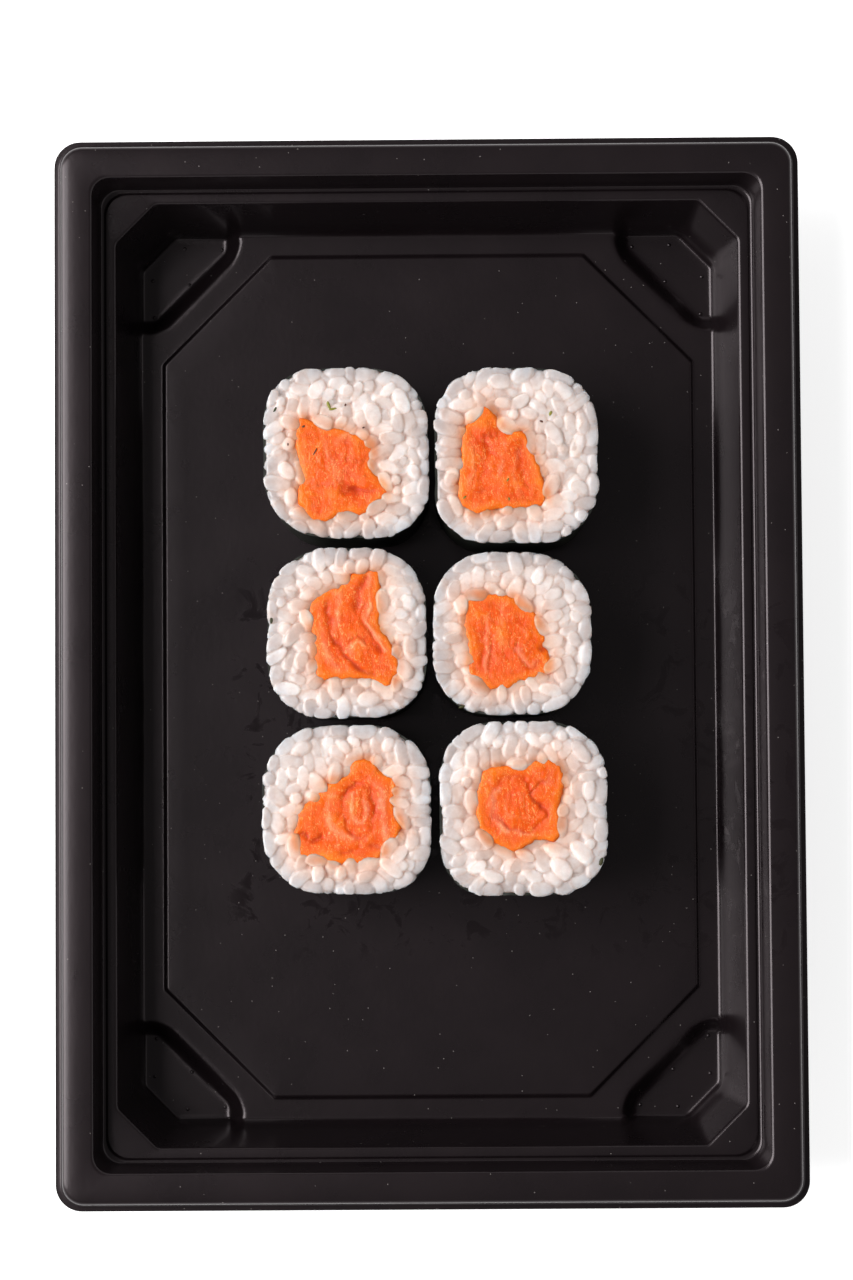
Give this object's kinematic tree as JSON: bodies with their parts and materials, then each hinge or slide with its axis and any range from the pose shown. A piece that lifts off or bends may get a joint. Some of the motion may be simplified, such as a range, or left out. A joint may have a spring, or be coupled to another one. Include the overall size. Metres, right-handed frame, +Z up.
{
  "type": "takeaway sushi tray",
  "caption": "Black thermoformed takeaway tray with sunk corner feet and a raised panel, holding rounded-square seaweed, rice and salmon rolls that stand on end in two rows.",
  "frame": {"origin": "middle of the underside, on the surface that the four sunk corner feet stand on", "axes": "+X across the tray, +Y along it, +Z up out of the open top"},
  "size_m": [0.1308, 0.187, 0.03],
  "materials": {
    "black_sheet_plastic": "satin vacuum-formed polystyrene sheet, slightly warm black",
    "roasted_seaweed": "moist roasted seaweed sheet, near black",
    "cooked_rice": "moist, translucent short grains",
    "raw_salmon": "moist raw fish with pale fat lines"
  },
  "bodies": {
    "root": {"tray": "black_sheet_plastic", "roll_1_nori": "roasted_seaweed", "roll_1_rice": "cooked_rice", "roll_1_salmon": "raw_salmon", "roll_2_nori": "roasted_seaweed", "roll_2_rice": "cooked_rice", "roll_2_salmon": "raw_salmon", "roll_3_nori": "roasted_seaweed", "roll_3_rice": "cooked_rice", "roll_3_salmon": "raw_salmon", "roll_4_nori": "roasted_seaweed", "roll_4_rice": "cooked_rice", "roll_4_salmon": "raw_salmon", "roll_5_nori": "roasted_seaweed", "roll_5_rice": "cooked_rice", "roll_5_salmon": "raw_salmon", "roll_6_nori": "roasted_seaweed", "roll_6_rice": "cooked_rice", "roll_6_salmon": "raw_salmon"}
  },
  "joints": []
}
